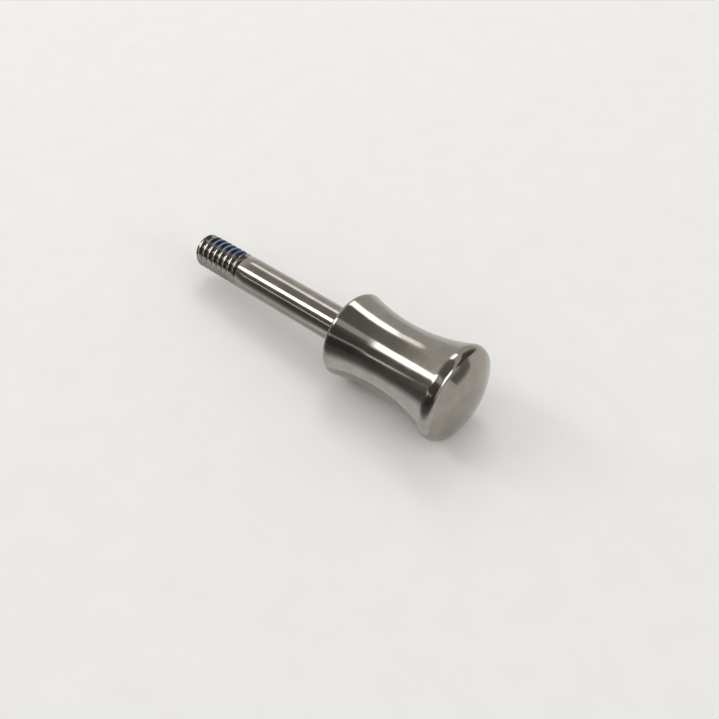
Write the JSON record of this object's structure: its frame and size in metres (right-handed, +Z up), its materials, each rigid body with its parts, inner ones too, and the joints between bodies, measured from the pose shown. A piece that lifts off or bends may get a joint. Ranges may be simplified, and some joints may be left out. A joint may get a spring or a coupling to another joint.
{
  "type": "thumb screw",
  "caption": "Stainless thumb screw with a long waisted grip, domed end, plain shank and short coarse thread with a blue nylon locking patch.",
  "frame": {"origin": "on the surface that the screw lies on, under the middle of its length", "axes": "+X along the screw towards the domed end of the grip, +Z up; the screw's own axis lies in the XZ plane and rises by 2.8 degrees towards +X, because it rests on the grip's small seat rim and larger dome rim"},
  "size_m": [0.0591, 0.0162, 0.0162],
  "materials": {
    "stainless_steel": "polished and slightly satin, with fine turning marks",
    "blue_nylon": "satin nylon coat, thick in the thread's root and thin on its crests"
  },
  "bodies": {
    "root": {"screw": "stainless_steel", "locking_patch": "blue_nylon"}
  },
  "joints": []
}
